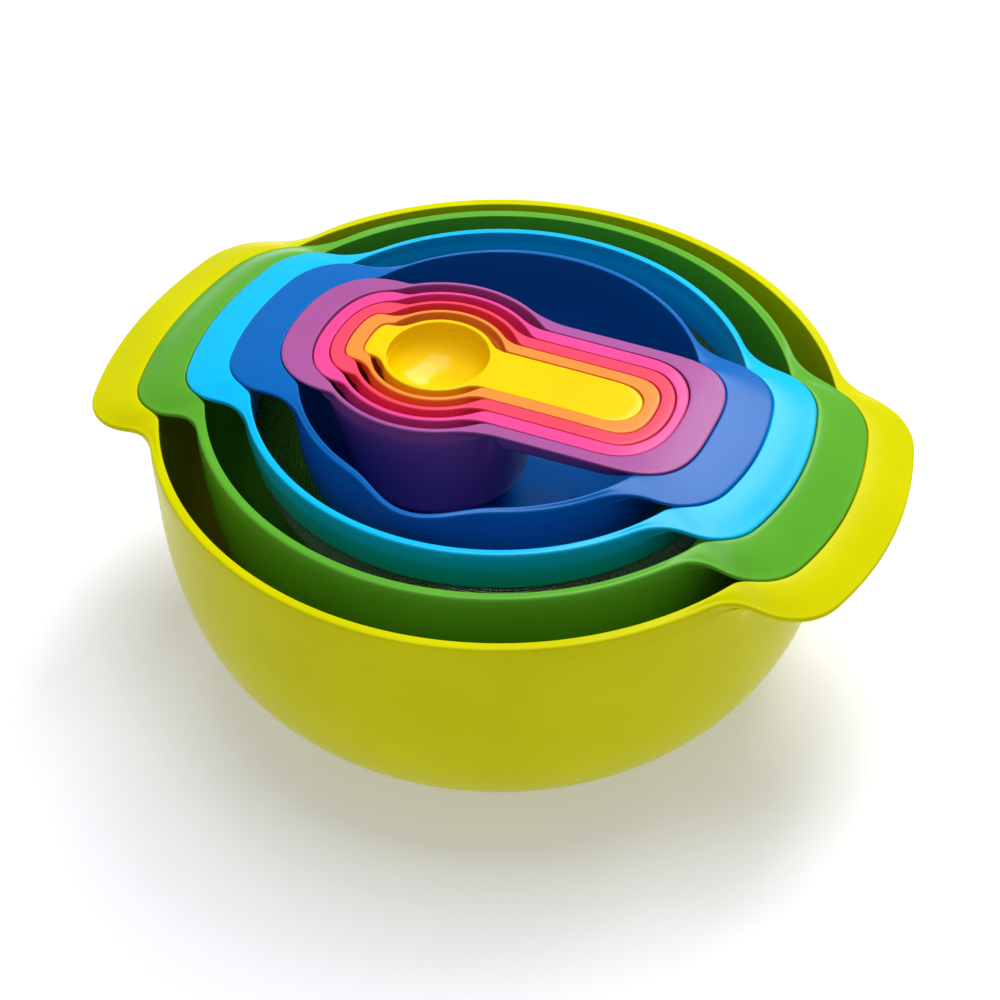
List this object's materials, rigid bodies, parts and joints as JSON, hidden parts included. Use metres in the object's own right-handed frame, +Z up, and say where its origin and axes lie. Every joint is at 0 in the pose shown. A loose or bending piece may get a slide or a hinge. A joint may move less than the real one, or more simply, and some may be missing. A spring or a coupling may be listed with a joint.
{
  "type": "nesting mixing bowl and measuring cup set",
  "caption": "Handled mixing bowls, colander, sieve, long-handled measuring cups and a spoon that nest one inside another, each lifting out upwards.",
  "frame": {"origin": "middle of the large bowl's flat base, on the table", "axes": "+Z up; +X runs through the long handles of the measuring cups; -Y is the side of the small bowl's pouring spout"},
  "size_m": [0.3224, 0.272, 0.1397],
  "materials": {
    "lime": "smooth moulded polypropylene",
    "green": "smooth moulded polypropylene",
    "light_blue": "smooth moulded polypropylene",
    "steel_mesh": "fine woven wire",
    "dark_blue": "smooth moulded polypropylene",
    "purple": "smooth moulded polypropylene",
    "magenta": "smooth moulded polypropylene",
    "coral": "smooth moulded polypropylene",
    "orange": "smooth moulded polypropylene",
    "yellow": "smooth moulded polypropylene"
  },
  "bodies": {
    "large_bowl": {"large_mixing_bowl": "lime"},
    "colander": {"colander": "green"},
    "sieve": {"sieve_frame": "light_blue", "sieve_mesh": "steel_mesh"},
    "small_bowl": {"small_mixing_bowl": "dark_blue"},
    "cup_250ml": {"cup_250ml": "purple"},
    "cup_125ml": {"cup_125ml": "magenta"},
    "cup_85ml": {"cup_85ml": "coral"},
    "cup_60ml": {"cup_60ml": "orange"},
    "spoon_15ml": {"spoon_15ml": "yellow"}
  },
  "joints": [
    {"name": "colander_lift", "type": "slide", "parent": "large_bowl", "child": "colander", "axis": [0, 0, 1], "range_m": [0, 0.13]},
    {"name": "sieve_lift", "type": "slide", "parent": "colander", "child": "sieve", "axis": [0, 0, 1], "range_m": [0, 0.1]},
    {"name": "small_bowl_lift", "type": "slide", "parent": "sieve", "child": "small_bowl", "axis": [0, 0, 1], "range_m": [0, 0.09]},
    {"name": "cup_250ml_lift", "type": "slide", "parent": "small_bowl", "child": "cup_250ml", "axis": [0, 0, 1], "range_m": [0, 0.08]},
    {"name": "cup_125ml_lift", "type": "slide", "parent": "cup_250ml", "child": "cup_125ml", "axis": [0, 0, 1], "range_m": [0, 0.06]},
    {"name": "cup_85ml_lift", "type": "slide", "parent": "cup_125ml", "child": "cup_85ml", "axis": [0, 0, 1], "range_m": [0, 0.055]},
    {"name": "cup_60ml_lift", "type": "slide", "parent": "cup_85ml", "child": "cup_60ml", "axis": [0, 0, 1], "range_m": [0, 0.05]},
    {"name": "spoon_15ml_lift", "type": "slide", "parent": "cup_60ml", "child": "spoon_15ml", "axis": [0, 0, 1], "range_m": [0, 0.04]}
  ]
}
